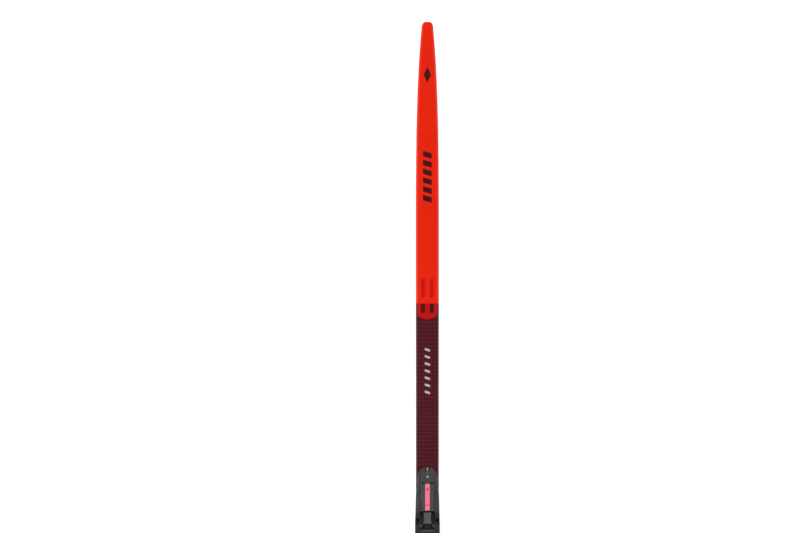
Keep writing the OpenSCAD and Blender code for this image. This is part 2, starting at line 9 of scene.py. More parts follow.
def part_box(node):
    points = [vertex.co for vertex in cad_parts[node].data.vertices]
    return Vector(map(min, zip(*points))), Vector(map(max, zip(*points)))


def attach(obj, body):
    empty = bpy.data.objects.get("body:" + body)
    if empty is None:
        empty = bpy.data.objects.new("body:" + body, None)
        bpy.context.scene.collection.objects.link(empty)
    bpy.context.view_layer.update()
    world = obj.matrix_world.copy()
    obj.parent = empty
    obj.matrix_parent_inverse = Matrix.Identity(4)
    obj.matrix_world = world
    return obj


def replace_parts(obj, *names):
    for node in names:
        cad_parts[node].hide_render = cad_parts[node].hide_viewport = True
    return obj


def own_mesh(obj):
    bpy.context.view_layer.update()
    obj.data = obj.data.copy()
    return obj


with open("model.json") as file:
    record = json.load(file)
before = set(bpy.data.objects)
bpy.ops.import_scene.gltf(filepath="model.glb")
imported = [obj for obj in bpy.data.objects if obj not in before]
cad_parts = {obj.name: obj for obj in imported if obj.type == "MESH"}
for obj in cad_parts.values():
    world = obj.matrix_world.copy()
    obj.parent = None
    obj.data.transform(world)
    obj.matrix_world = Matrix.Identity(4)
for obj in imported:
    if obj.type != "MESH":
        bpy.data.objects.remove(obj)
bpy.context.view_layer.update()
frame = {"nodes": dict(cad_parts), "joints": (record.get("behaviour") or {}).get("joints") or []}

# Lengths below are millimetres in the row frame, and MM turns them into metres.
MM = 0.001
nodes = frame["nodes"]

# ---------- driving dimensions, the same as the CAD part's ----------

HALF_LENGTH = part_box("topsheet")[1].x / MM
DECK_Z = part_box("mounting_plate")[0].z / MM
FLEXOR_GAP = 9.4                                  # from the toe bar to the flexor's rear face
TOE_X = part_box("flexor")[0].x / MM - FLEXOR_GAP   # the toe bar's place
WAIST_WIDTH, SHOVEL_WIDTH, TAIL_WIDTH = 43.0, 43.5, 44.0
CAMBER = 10.0
TIP_THICKNESS, TAIL_THICKNESS = 7.0, 8.0
TIP_RISE, TAIL_RISE = 34.0, 9.0
TIP_ZONE, TAIL_ZONE = 200.0, 120.0
TIP_RISE_POWER = 2.2
TIP_FALL, TAIL_FALL = 0.012, 0.02                 # fall of the thickness per millimetre at the two ends
BEVEL_WIDTH, BEVEL_HEIGHT = 2.8, 4.0
BASE_THICKNESS, LAMINATE_THICKNESS, TOPSHEET_THICKNESS = 1.3, 0.8, 0.9
BASE_CHAMFER = 0.15
SIDEWALL_WIDTH = 2.2
GROOVE_HALF, GROOVE_DEPTH = 4.0, 0.8
GROOVE_END, GROOVE_FADE = 60.0, 90.0              # from the ski's ends, and the length of its fading
SHOVEL_ZONE, WAIST_BLEND = 420.0, 300.0           # the shovel's length, and from there to the full waist
SHOVEL_NARROWING, SHOVEL_POWER = 0.529, 3.38      # share of its width that the shovel loses, and how late
TIP_ROUND, TIP_POWER, TIP_FLAT = 9.0, 1.9, 5.2    # length, roundness and half width of the very tip
TAIL_WIDENS, TAIL_BLEND = 1150.0, 500.0           # behind the tip, and the length of the widening
TAIL_PINCH, TAIL_PINCH_ZONE, TAIL_RADIUS = 2.0, 110.0, 8.0
TIP_BLOCK, TAIL_BLOCK = 70.0, 25.0
TOPSHEET_EDGE = 1.1
UNDER_CORE = BASE_THICKNESS + LAMINATE_THICKNESS
CLOSEST = 0.02                                    # points nearer to each other than this are one point
BEVEL_RUN = BEVEL_WIDTH / BEVEL_HEIGHT

FRONT_CONTACT = HALF_LENGTH - TIP_ZONE
REAR_CONTACT = TAIL_ZONE - HALF_LENGTH
ARCH_MIDDLE = (FRONT_CONTACT + REAR_CONTACT) / 2
ARCH_HALF = (FRONT_CONTACT - REAR_CONTACT) / 2
DECK_AHEAD, DECK_BEHIND = 110.0, 306.0            # the flat deck's ends, from the toe bar
DECK_FRONT, DECK_REAR = TOE_X + DECK_AHEAD, TOE_X - DECK_BEHIND
CORE_FRONT, CORE_REAR = HALF_LENGTH - TIP_BLOCK, TAIL_BLOCK - HALF_LENGTH

# Places of the printed graphics, behind the tip
TIP_MARK = (84.0, 114.0)
FRONT_MARKS = (243.0, 343.0)
DARK_BARS = (485.0, 521.0)
RED_END = 532.0
TONGUE_CURVE, TONGUE_END = 550.0, 562.0
LIGHT_MARKS = (616.0, 704.0)
GRID_PITCH = (7.45, 5.5)                          # along and across the ski
FILM, SINK = 0.04, 0.1                            # a print's height above its surface, and its depth below

# Places on the binding, ahead of the toe bar
LEVER_FALL = 1.2 / 49                             # slope of the lever's top towards the front
INLAY_BAND = (43.4, 46.0)                         # deeper pink band across the inlay
INLAY_MARK = (70.6, 78.0)                         # small lozenge on the inlay


# ---------- camera, light and floor ----------

def camera():
    """Straight down on the front half of the ski, tip up, from far enough away to look flat."""
    data = bpy.data.cameras.new("camera")
    data.sensor_width, data.lens = 36.0, 200.0
    data.clip_end = 100.0
    view_width, behind_tip, left_of_ski = 1.512, 0.4622, 0.0518
    distance = view_width * data.lens / data.sensor_width
    obj = bpy.data.objects.new("camera", data)
    bpy.context.scene.collection.objects.link(obj)
    right, up, back = Vector((0, -1, 0)), Vector((1, 0, 0)), Vector((0, 0, 1))
    turn = Matrix((right, up, back)).transposed().to_4x4()
    centre = Vector((HALF_LENGTH * MM - behind_tip, left_of_ski, DECK_Z * MM))
    obj.matrix_world = Matrix.Translation(centre + back * distance) @ turn
    bpy.context.scene.camera = obj


def soft_sun(name, direction, strength, spread):
    """A light from one direction, softened by its spread in degrees."""
    data = bpy.data.lights.new(name, "SUN")
    data.energy, data.angle = strength, math.radians(spread)
    obj = bpy.data.objects.new(name, data)
    obj.rotation_euler = Vector(direction).to_track_quat("Z", "Y").to_euler()
    bpy.context.scene.collection.objects.link(obj)


def studio():
    """Two broad soft lights from the sides and a sky that is pale at the horizon and dimmer overhead."""
    soft_sun("key_light", (0.25, 1.0, 0.9), 2.3, 50)
    soft_sun("fill_light", (-0.2, -1.0, 1.0), 1.55, 50)
    world = bpy.data.worlds.new("studio")
    bpy.context.scene.world = world
    world.use_nodes = True
    tree = world.node_tree
    background = tree.nodes["Background"]
    place = tree.nodes.new("ShaderNodeTexCoord")
    split = tree.nodes.new("ShaderNodeSeparateXYZ")
    ramp = tree.nodes.new("ShaderNodeValToRGB")
    tree.links.new(place.outputs["Generated"], split.inputs[0])
    tree.links.new(split.outputs["Z"], ramp.inputs["Fac"])
    tree.links.new(ramp.outputs["Color"], background.inputs["Color"])
    ramp.color_ramp.elements[0].position, ramp.color_ramp.elements[0].color = 0.0, (0.9, 0.9, 0.91, 1)
    ramp.color_ramp.elements[1].position, ramp.color_ramp.elements[1].color = 0.9, (0.1, 0.1, 0.103, 1)
    background.inputs["Strength"].default_value = 1.0
    bpy.context.scene.view_settings.view_transform = "Standard"


def floor():
    """A plain pale floor, just below the ski."""
    size, gap = 60.0, 0.0002
    corners = [(-size, -size, 0), (size, -size, 0), (size, size, 0), (-size, size, 0)]
    mesh = bpy.data.meshes.new("floor")
    mesh.from_pydata(corners, [], [(0, 1, 2, 3)])
    obj = bpy.data.objects.new("floor", mesh)
    bpy.context.scene.collection.objects.link(obj)
    obj.location.z = -gap
    mesh.materials.append(glowing_paint("floor_paint", 0.9, 0.5))


# ---------- materials ----------

class Paint:
    """A small helper that builds one node material around a Principled shader."""

    def __init__(self, name):
        self.material = bpy.data.materials.new(name)
        self.material.use_nodes = True
        self.tree = self.material.node_tree
        self.shader = self.tree.nodes["Principled BSDF"]
        self.place = self.tree.nodes.new("ShaderNodeTexCoord")

    def node(self, kind, **values):
        made = self.tree.nodes.new(kind)
        for key, value in values.items():
            setattr(made, key, value)
        return made

    def link(self, a, b):
        self.tree.links.new(a, b)

    def stretched(self, scale):
        """Object coordinates, scaled by a number per axis."""
        mapping = self.node("ShaderNodeMapping")
        mapping.inputs["Scale"].default_value = scale
        self.link(self.place.outputs["Object"], mapping.inputs["Vector"])
        return mapping.outputs["Vector"]

    def noise(self, scale, detail=4.0, roughness=0.55):
        """Noise whose fineness is one number, or a number per axis."""
        made = self.node("ShaderNodeTexNoise")
        made.inputs["Scale"].default_value = 1.0
        made.inputs["Detail"].default_value = detail
        made.inputs["Roughness"].default_value = roughness
        per_axis = scale if isinstance(scale, tuple) else (scale,) * 3
        self.link(self.stretched(per_axis), made.inputs["Vector"])
        return made.outputs["Fac"]

    def ramp(self, value, low, high, a, b):
        """value taken from low..high to a..b, clamped."""
        made = self.node("ShaderNodeMapRange")
        made.inputs["From Min"].default_value, made.inputs["From Max"].default_value = low, high
        made.inputs["To Min"].default_value, made.inputs["To Max"].default_value = a, b
        self.link(value, made.inputs["Value"])
        return made.outputs["Result"]

    def mix(self, fac, a, b):
        """A colour between a and b. Each input is a number, a colour, or another node's output."""
        made = self.node("ShaderNodeMix", data_type="RGBA")
        for socket, value in ((made.inputs[0], fac), (made.inputs[6], a), (made.inputs[7], b)):
            if isinstance(value, tuple):
                socket.default_value = (*value, 1)
            elif isinstance(value, float):
                socket.default_value = value
            else:
                self.link(value, socket)
        return made.outputs[2]

    def bump(self, height, depth, normal=None):
        """depth is the relief in millimetres."""
        made = self.node("ShaderNodeBump")
        made.inputs["Distance"].default_value = depth * MM
        made.inputs["Strength"].default_value = 1.0
        self.link(height, made.inputs["Height"])
        if normal is not None:
            self.link(normal, made.inputs["Normal"])
        return made.outputs["Normal"]


def shade(colour, factor):
    """A colour, lighter or darker by a factor."""
    return tuple(min(1.0, c * factor) for c in colour)


def paint(name, colour, roughness, *, spread=0.12, grain=2500.0, grain_depth=0.012, metallic=0.0,
          specular=0.5, scuff=0.1, mottling=45.0, stretch=(1, 1, 1)):
    """Moulded or lacquered surface: slow colour and gloss changes, fine grain, and faint scuffs."""
    p = Paint(name)
    slow = p.noise(tuple(mottling * s for s in stretch), 5.0)
    fine = p.noise(tuple(grain * s for s in stretch), 2.0)
    scuffs = p.noise((90.0 * stretch[0], 900.0 * stretch[1], 900.0 * stretch[2]), 3.0, 0.7)
    base = p.mix(p.ramp(slow, 0.3, 0.7, 0.0, 1.0), shade(colour, 1 - spread), shade(colour, 1 + spread))
    speckled = p.mix(p.ramp(fine, 0.45, 0.75, 0.0, 0.35), base, shade(colour, 1 + 2 * spread))
    p.link(speckled, p.shader.inputs["Base Color"])
    gloss = p.node("ShaderNodeMath", operation="ADD")
    p.link(p.ramp(scuffs, 0.45, 0.75, roughness, roughness + scuff), gloss.inputs[0])
    p.link(p.ramp(slow, 0.3, 0.7, -0.03, 0.03), gloss.inputs[1])
    p.link(gloss.outputs[0], p.shader.inputs["Roughness"])
    if grain_depth:
        p.link(p.bump(fine, grain_depth), p.shader.inputs["Normal"])
    p.shader.inputs["Metallic"].default_value = metallic
    p.shader.inputs["Specular IOR Level"].default_value = specular
    return p.material


def glowing_paint(name, white, glow):
    """Lit table top: plain white with a glow of its own, so that shadows on it stay faint."""
    p = Paint(name)
    p.shader.inputs["Base Color"].default_value = (white, white, white, 1)
    p.shader.inputs["Roughness"].default_value = 0.9
    p.shader.inputs["Specular IOR Level"].default_value = 0.1
    p.shader.inputs["Emission Color"].default_value = (1, 1, 1, 1)
    p.shader.inputs["Emission Strength"].default_value = glow
    return p.material


def brushed(name, colour, roughness, metallic=1.0):
    """Metal with its brush lines along the ski."""
    return paint(name, colour, roughness, spread=0.1, grain=1500.0, grain_depth=0.006, metallic=metallic,
                 stretch=(0.08, 1, 1), scuff=0.15)


def wood(name):
    """Light stringer wood: grain runs along the ski."""
    p = Paint(name)
    grain = p.noise((4.0, 600.0, 600.0), 6.0, 0.6)
    pores = p.noise((60.0, 2500.0, 2500.0), 2.0)
    base = p.mix(p.ramp(grain, 0.3, 0.7, 0.0, 1.0), (0.5, 0.32, 0.15), (0.72, 0.52, 0.3))
    porous = p.mix(p.ramp(pores, 0.6, 0.7, 0.0, 0.6), base, (0.33, 0.2, 0.09))
    p.link(porous, p.shader.inputs["Base Color"])
    p.link(p.bump(pores, 0.05), p.shader.inputs["Normal"])
    p.shader.inputs["Roughness"].default_value = 0.65
    return p.material


def fibre(name, colour, light):
    """Laminate with its fibres along the ski."""
    p = Paint(name)
    strands = p.noise((12.0, 3000.0, 3000.0), 3.0, 0.7)
    p.link(p.mix(p.ramp(strands, 0.4, 0.7, 0.0, 1.0), colour, light), p.shader.inputs["Base Color"])
    p.link(p.bump(strands, 0.02), p.shader.inputs["Normal"])
    p.shader.inputs["Roughness"].default_value = 0.42
    return p.material


def ground_base(name):
    """Sintered running base: a stone-ground structure of fine lines along the ski, with graphite specks."""
    p = Paint(name)
    lines = p.noise((3.0, 2200.0, 1.0), 2.0, 0.5)
    specks = p.noise(1800.0, 1.0)
    base = p.mix(p.ramp(lines, 0.35, 0.65, 0.0, 1.0), (0.012, 0.012, 0.013), (0.028, 0.028, 0.03))
    speckled = p.mix(p.ramp(specks, 0.66, 0.72, 0.0, 0.5), base, (0.06, 0.06, 0.062))
    p.link(speckled, p.shader.inputs["Base Color"])
    p.link(p.bump(lines, 0.03), p.shader.inputs["Normal"])
    p.shader.inputs["Roughness"].default_value = 0.36
    return p.material


RED = (0.69, 0.0155, 0.002)
MAROON = (0.055, 0.0025, 0.007)
DARK_RED = (0.44, 0.003, 0.002)
DARK_PRINT = (0.06, 0.003, 0.006)
PLASTIC = (0.038, 0.038, 0.0395)
RUBBER = (0.056, 0.056, 0.0575)


def lacquer(name, colour, roughness):
    """The topsheet's own colours, under a clear lacquer with a faint unevenness."""
    return paint(name, colour, roughness, spread=0.06, grain=700, grain_depth=0.004, specular=0.15,
                 mottling=9)


def ink(name, colour, roughness=0.36):
    """Printed film: an even colour with no grain."""
    return paint(name, colour, roughness, spread=0.06, grain_depth=0.0, specular=0.15)


def moulded(name, colour, roughness, relief=0.013):
    """Injection-moulded plastic with a spark-eroded grain."""
    return paint(name, colour, roughness, grain=2300, grain_depth=relief, specular=0.35)


def coloured_plastic(name, colour):
    """The lever's inlay: smoother and more even than the black plastic around it."""
    return paint(name, colour, 0.38, spread=0.04, grain=2000, grain_depth=0.004, specular=0.3)


def soft_rubber(name, colour, roughness=0.72):
    """Rubber with a coarser, duller grain than the plastic."""
    return paint(name, colour, roughness, grain=1600, grain_depth=0.03, scuff=0.05, specular=0.3)


MATERIALS = {
    "topsheet_red": lacquer("topsheet_red", RED, 0.3),
    "topsheet_maroon": lacquer("topsheet_maroon", MAROON, 0.32),
    "grid_ink": ink("grid_ink", (0.084, 0.0125, 0.02), 0.4),
    "dark_red_ink": ink("dark_red_ink", DARK_RED),
    "bar_ink": ink("bar_ink", shade(DARK_RED, 1.14)),
    "dark_ink": ink("dark_ink", DARK_PRINT),
    "light_ink": ink("light_ink", (0.42, 0.4, 0.385), 0.4),
    "laminate": fibre("laminate", (0.012, 0.012, 0.013), (0.05, 0.05, 0.053)),
    "glass": fibre("glass", (0.16, 0.15, 0.12), (0.34, 0.33, 0.28)),
    "wood": wood("wood"),
    "sidewall": paint("sidewall", (0.022, 0.02, 0.023), 0.4, spread=0.15, grain=1400, grain_depth=0.01,
                      stretch=(0.03, 1, 1)),
    "running_base": ground_base("running_base"),
    "end_plastic": moulded("end_plastic", (0.012, 0.012, 0.014), 0.42),
    "plate": moulded("plate", (0.02, 0.02, 0.022), 0.45),
    "housing": moulded("housing", PLASTIC, 0.5),
    # Lighter copy for the bevels' faces: a painted highlight on the housing's rounded edges.
    "housing_edge": moulded("housing_edge", shade(PLASTIC, 1.4), 0.38, 0.006),
    # The housing plastic darkened to 0.7: painted shade for the toe housing's and heel plate's faces that
    # slope away from the light.
    "flank": moulded("flank", shade(PLASTIC, 0.7), 0.55),
    # Lighter copy for the flank's bevels: a painted highlight on its rounded edges.
    "flank_edge_highlight": moulded("flank_edge_highlight", shade(PLASTIC, 1.0), 0.42, 0.006),
    # Much darker copy: painted shade on the low tops and the shoulders beside the boot.
    "housing_low_shade": moulded("housing_low_shade", shade(PLASTIC, 0.44), 0.6),
    # Darker copy: painted shade in the flexor's bay, the ridge grooves, the seams and the index recess.
    "recess": moulded("recess", shade(PLASTIC, 0.42), 0.7),
    # Nearly black copy: painted shade in the hollows at the boot's front corners.
    "deep_recess_shade": moulded("deep_recess_shade", shade(PLASTIC, 0.16), 0.7),
    "lever": moulded("lever", shade(PLASTIC, 1.25), 0.46),
    # Lighter copy for the lever's bevels: a painted highlight on its rounded edges.
    "lever_edge_highlight": moulded("lever_edge_highlight", shade(PLASTIC, 1.8), 0.36, 0.006),
    "pink": coloured_plastic("pink", (0.8, 0.165, 0.225)),
    "deep_pink": coloured_plastic("deep_pink", (0.8, 0.075, 0.125)),
    "inlay_ink": ink("inlay_ink", (0.25, 0.11, 0.12)),
    "mark": paint("mark", (0.25, 0.25, 0.24), 0.5, spread=0.06, specular=0.3),
    "dim_mark": paint("dim_mark", (0.11, 0.11, 0.11), 0.5, spread=0.06, specular=0.3),
    "flexor": soft_rubber("flexor", (0.073, 0.073, 0.075), 0.68),
    "rubber": soft_rubber("rubber", RUBBER),
    # Lighter copy for the pads' bevels: a painted highlight on their rounded edges.
    "rubber_edge_highlight": soft_rubber("rubber_edge_highlight", shade(RUBBER, 1.6), 0.6),
    "steel": brushed("steel", (0.42, 0.42, 0.43), 0.3),
    "dark_steel": brushed("dark_steel", (0.038, 0.038, 0.04), 0.45),
    # Paler, less metallic steel for the bar seat's top.
    "pale_top_steel": brushed("pale_top_steel", (0.07, 0.07, 0.072), 0.45, 0.6),
    "screw": brushed("screw", (0.62, 0.62, 0.63), 0.34, 0.5),
}


# ---------- curves of the ski ----------

def mix(a, b, t):
    return a + (b - a) * t


def ease(t):
    """Smooth step from 0 to 1."""
    t = min(1.0, max(0.0, t))
    return t * t * (3 - 2 * t)


def bottom_z(x):
    """Height of the running base above the ground."""
    if x > FRONT_CONTACT:
        return TIP_RISE * ((x - FRONT_CONTACT) / TIP_ZONE) ** TIP_RISE_POWER
    if x < REAR_CONTACT:
        return TAIL_RISE * ((REAR_CONTACT - x) / TAIL_ZONE) ** 2
    return CAMBER * (1 - ((x - ARCH_MIDDLE) / ARCH_HALF) ** 2) ** 2


def taper(x, deck_end, end_x, end_thickness, end_fall):
    """Thickness from the flat deck to one end of the ski, on a curve that starts level with the deck."""
    span, way = abs(end_x - deck_end), math.copysign(1, end_x - deck_end)
    s = abs(x - deck_end) / span
    slope = -way * (bottom_z(deck_end + 1) - bottom_z(deck_end - 1)) / 2
    return ((DECK_Z - bottom_z(deck_end)) * (2 * s ** 3 - 3 * s ** 2 + 1)
            + span * slope * (s ** 3 - 2 * s ** 2 + s)
            + end_thickness * (3 * s ** 2 - 2 * s ** 3) - span * end_fall * (s ** 3 - s ** 2))


def thickness(x):
    """The whole ski's height at x, with a level top under the binding."""
    if x > DECK_FRONT:
        return taper(x, DECK_FRONT, HALF_LENGTH, TIP_THICKNESS, TIP_FALL)
    if x < DECK_REAR:
        return taper(x, DECK_REAR, -HALF_LENGTH, TAIL_THICKNESS, TAIL_FALL)
    return DECK_Z - bottom_z(x)


def top_z(x):
    """Height of the topsheet's flat above the ground."""
    return bottom_z(x) + thickness(x)


def half_width(x):
    """Half the ski's full width, from the rounded tip through the waist to the tail's rounded corners."""
    tip, tail = HALF_LENGTH - x, HALF_LENGTH + x
    if tip < SHOVEL_ZONE:
        narrowing = SHOVEL_NARROWING * max(0.0, 1 - tip / SHOVEL_ZONE) ** SHOVEL_POWER
        half = SHOVEL_WIDTH * (1 - narrowing) / 2
        if tip < TIP_ROUND:
            rounded = max(0.0, 1 - (1 - tip / TIP_ROUND) ** TIP_POWER) ** (1 / TIP_POWER)
            half = mix(TIP_FLAT, half, rounded)
        return half
    if tip < HALF_LENGTH:
        return mix(SHOVEL_WIDTH, WAIST_WIDTH, ease((tip - SHOVEL_ZONE) / WAIST_BLEND)) / 2
    half = mix(WAIST_WIDTH, TAIL_WIDTH, ease((tip - TAIL_WIDENS) / TAIL_BLEND)) / 2
    half -= TAIL_PINCH * ease(1 - tail / TAIL_PINCH_ZONE)
    if tail < TAIL_RADIUS:
        half += math.sqrt(TAIL_RADIUS ** 2 - (TAIL_RADIUS - tail) ** 2) - TAIL_RADIUS
    return half


def flat_half(x):
    """Half the width of the topsheet's flat, between the bevels."""
    return half_width(x) - BEVEL_WIDTH


def stations(x0, x1, extra=()):
    """Places along the ski, crowded towards both ends."""
    step, end_zone, end_steps = 8.0, 40.0, 26
    count = int((2 * HALF_LENGTH - 2 * end_zone) / step) + 1
    middle = [-HALF_LENGTH + end_zone + i * step for i in range(count)]
    near = [end_zone * (i / end_steps) ** 2 for i in range(end_steps)]
    every = [-HALF_LENGTH + d for d in near] + middle + [HALF_LENGTH - d for d in near] + [x0, x1, *extra]
    kept = sorted(x for x in every if x0 <= x <= x1)
    thinned = [kept[0]]
    for x in kept[1:]:
        if x - thinned[-1] > CLOSEST:
            thinned.append(x)
    thinned[-1] = x1
    return thinned


# ---------- mesh helpers ----------

def piece(name, verts, faces, body, materials, smooth=35):
    """A mesh object from millimetre points and the body that it rides on."""
    mesh = bpy.data.meshes.new(name)
    mesh.from_pydata([Vector(v) * MM for v in verts], [], faces)
    mesh.validate()
    shell = bmesh.new()
    shell.from_mesh(mesh)
    bmesh.ops.recalc_face_normals(shell, faces=shell.faces)
    shell.to_mesh(mesh)
    shell.free()
    obj = bpy.data.objects.new(name, mesh)
    bpy.context.scene.collection.objects.link(obj)
    for m in materials:
        mesh.materials.append(MATERIALS[m])
    smooth_by_angle(mesh, smooth)
    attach(obj, body)
    return obj


def smooth_by_angle(mesh, degrees):
    """Smooth shading, apart from edges that turn by more than the angle."""
    mesh.shade_smooth()
    mesh.set_sharp_from_angle(angle=math.radians(degrees))


def fillet(points, radius, steps=4):
    """The inner corners of an open chain of (y, z) points, rounded."""
    out = [points[0]]
    most = 0.45    # of the way to the next point
    for i in range(1, len(points) - 1):
        p, a, b = Vector(points[i]), Vector(points[i - 1]), Vector(points[i + 1])
        reach = min(radius, (a - p).length * most, (b - p).length * most)
        start, end = p + (a - p).normalized() * reach, p + (b - p).normalized() * reach
        for k in range(steps + 1):
            t = k / steps
            out.append(tuple(start * (1 - t) ** 2 + p * 2 * t * (1 - t) + end * t ** 2))
    out.append(points[-1])
    return out


def sweep(name, xs, ring, materials, zone=None, body="ski"):
    """A closed solid swept along X. ring(x) is the closed outline of (y, z) points above the base line."""
    rings = [[(x, y, z + bottom_z(x)) for y, z in ring(x)] for x in xs]
    n = len(rings[0])
    verts = [v for r in rings for v in r]
    faces = [(i * n + j, i * n + (j + 1) % n, (i + 1) * n + (j + 1) % n, (i + 1) * n + j)
             for i in range(len(xs) - 1) for j in range(n)]
    faces += [tuple(range(n)), tuple(range(len(verts) - 1, len(verts) - n - 1, -1))]
    obj = piece(name, verts, faces, body, materials)
    if zone:
        for face in obj.data.polygons:
            face.material_index = zone(face.center.x / MM)
    return obj


# ---------- the ski's visible layers ----------

def cap(x, edge, drop):
    """Chain across the ski that drops at both bevels."""
    y0, t = half_width(x) - edge, thickness(x)
    y1 = y0 - BEVEL_RUN * (BEVEL_HEIGHT - drop)
    return [(-y0, t - BEVEL_HEIGHT), (-y1, t - drop), (y1, t - drop), (y0, t - BEVEL_HEIGHT)]


def end_round(x, length=3.0, drop=0.75):
    """How far the topsheet's outer skin rolls down at the very tip and tail."""
    d = HALF_LENGTH - abs(x)
    return drop * (1 - math.sqrt(1 - (1 - d / length) ** 2)) if d < length else 0.0


def topsheet_ring(x):
    """The topsheet's outer skin with softened bevels, and its inner face."""
    down, edge, softness = end_round(x), half_width(x) - 0.1, 1.0
    outer = [(y, z - (down if abs(y) < edge else 0.0)) for y, z in cap(x, 0, 0)]
    inner = cap(x, TOPSHEET_EDGE, TOPSHEET_THICKNESS)
    return fillet(outer, softness) + inner[::-1]


def topsheet():
    """The printed topsheet, red from the tip and maroon behind."""
    edge = HALF_LENGTH - RED_END
    obj = sweep("printed_topsheet", stations(-HALF_LENGTH, HALF_LENGTH, (edge,)), topsheet_ring,
                ["topsheet_red", "topsheet_maroon"], zone=lambda x: 0 if x > edge else 1)
    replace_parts(obj, "topsheet")


def base_ring(x):
    """The running base, with chamfered edges and one groove that fades out towards the ends."""
    h, c = half_width(x), BASE_CHAMFER
    steps, roundness, least, rim = 12, 0.6, 0.02, 2.0
    g = min(GROOVE_HALF, h - rim)
    d = GROOVE_DEPTH * ease((HALF_LENGTH - GROOVE_END - abs(x)) / GROOVE_FADE) + least
    turns = [math.pi * k / steps for k in range(steps + 1)]
    groove = [(g * -math.cos(a), d * math.sin(a) ** roundness) for a in turns]
    return ([(-h, c), (-h + c, 0)] + groove
            + [(h - c, 0), (h, c), (h, BASE_THICKNESS), (-h, BASE_THICKNESS)])


def sheet_ring(x):
    """The laminate sheet on the running base."""
    h = half_width(x)
    return [(-h, BASE_THICKNESS), (h, BASE_THICKNESS), (h, UNDER_CORE), (-h, UNDER_CORE)]


def wall_ring(x, side):
    """A sidewall. side is 1 on the left and -1 on the right."""
    h, top = half_width(x), thickness(x) - BEVEL_HEIGHT
    inner = h - SIDEWALL_WIDTH
    outline = ((inner, UNDER_CORE), (h, UNDER_CORE), (h, top), (inner, top))
    return [(side * y, z) for y, z in outline]


def end_block_ring(x):
    """The solid plastic at the tip and the tail, a little clear of the topsheet's inside."""
    aside, below = 0.8, 0.7
    h, c = half_width(x), cap(x, TOPSHEET_EDGE + aside, TOPSHEET_THICKNESS + below)
    return [(-h, UNDER_CORE), (h, UNDER_CORE), (h, c[3][1])] + c[::-1] + [(-h, c[0][1])]


def layers():
    """The ski's layers under the topsheet that show from outside."""
    whole, core = stations(-HALF_LENGTH, HALF_LENGTH), stations(CORE_REAR, CORE_FRONT)
    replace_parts(sweep("ground_base", whole, base_ring, ["running_base"]), "base")
    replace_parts(sweep("fibre_sheet", whole, sheet_ring, ["laminate"]), "lower_laminate")
    for side, name in ((1, "left"), (-1, "right")):
        wall_piece = sweep("side_strip_" + name, core, lambda x, side=side: wall_ring(x, side),
                           ["sidewall"])
        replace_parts(wall_piece, "sidewall_" + name)
    for name, node, x0, x1 in (("tip_block", "tip_spacer", CORE_FRONT, HALF_LENGTH),
                               ("tail_block", "tail_protector", -HALF_LENGTH, CORE_REAR)):
        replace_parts(sweep(name, stations(x0, x1), end_block_ring, ["end_plastic"]), node)


# ---------- printed graphics ----------

def film(name, outlines, material, lift=FILM, step=6.0):
    """Printed shapes that follow the topsheet. Each outline is a list of (behind the tip, y) points."""
    made = bmesh.new()
    for outline in outlines:
        made.faces.new([made.verts.new((HALF_LENGTH - d, y, 0)) for d, y in outline])
    xs = [v.co.x for v in made.verts]
    cut = min(xs) + step
    while cut < max(xs):
        everything = made.verts[:] + made.edges[:] + made.faces[:]
        bmesh.ops.bisect_plane(made, geom=everything, plane_co=(cut, 0, 0), plane_no=(1, 0, 0))
        cut += step
    bmesh.ops.remove_doubles(made, verts=made.verts[:], dist=CLOSEST)
    lower = made.verts[:]
    raised = bmesh.ops.extrude_face_region(made, geom=made.faces[:])["geom"]
    upper = {v for v in raised if isinstance(v, bmesh.types.BMVert)}
    for v in lower + list(upper):
        v.co.z = top_z(v.co.x) + (lift if v in upper else -SINK)
    bmesh.ops.recalc_face_normals(made, faces=made.faces)
    made.verts.index_update()
    verts = [tuple(v.co) for v in made.verts]
    faces = [tuple(v.index for v in f.verts) for f in made.faces]
    made.free()
    return piece(name, verts, faces, "ski", [material], smooth=20)


def rounded_box(d0, d1, y0, y1, r, steps=5):
    """Outline of a box with rounded corners, from d0 to d1 behind the tip."""
    out = []
    corners = ((d1 - r, y1 - r, 0), (d0 + r, y1 - r, 90), (d0 + r, y0 + r, 180), (d1 - r, y0 + r, 270))
    for cd, cy, start in corners:
        for k in range(steps + 1):
            a = math.radians(start + 90 * k / steps)
            out.append((cd + r * math.cos(a), cy + r * math.sin(a)))
    return out


def box_pair(d0, d1, y, half, radius):
    """Two rounded boxes, side by side about the centre line."""
    return [rounded_box(d0, d1, s * y - half, s * y + half, radius) for s in (-1, 1)]


def slanted_bars(start, pitch, count, length, half, slant):
    """Outlines of bars across the ski, whose left ends are nearer the tip."""
    places = [start + i * pitch for i in range(count)]
    return [[(a + slant, -half), (a + length + slant, -half), (a + length, half), (a, half)]
            for a in places]


def tip_lozenge():
    """A plain lozenge near the tip."""
    (d0, d1), half = TIP_MARK, 7.0
    middle = (d0 + d1) / 2
    film("tip_lozenge", [[(middle, -half), (d1, 0), (middle, half), (d0, 0)]], "dark_ink")


def front_bars():
    """Six slanted bars across the front."""
    count, half, slant, filled = 6, 8.3, 5.0, 0.62
    pitch = (FRONT_MARKS[1] - FRONT_MARKS[0]) / count
    film("front_bars", slanted_bars(FRONT_MARKS[0], pitch, count, pitch * filled, half, slant), "dark_ink")


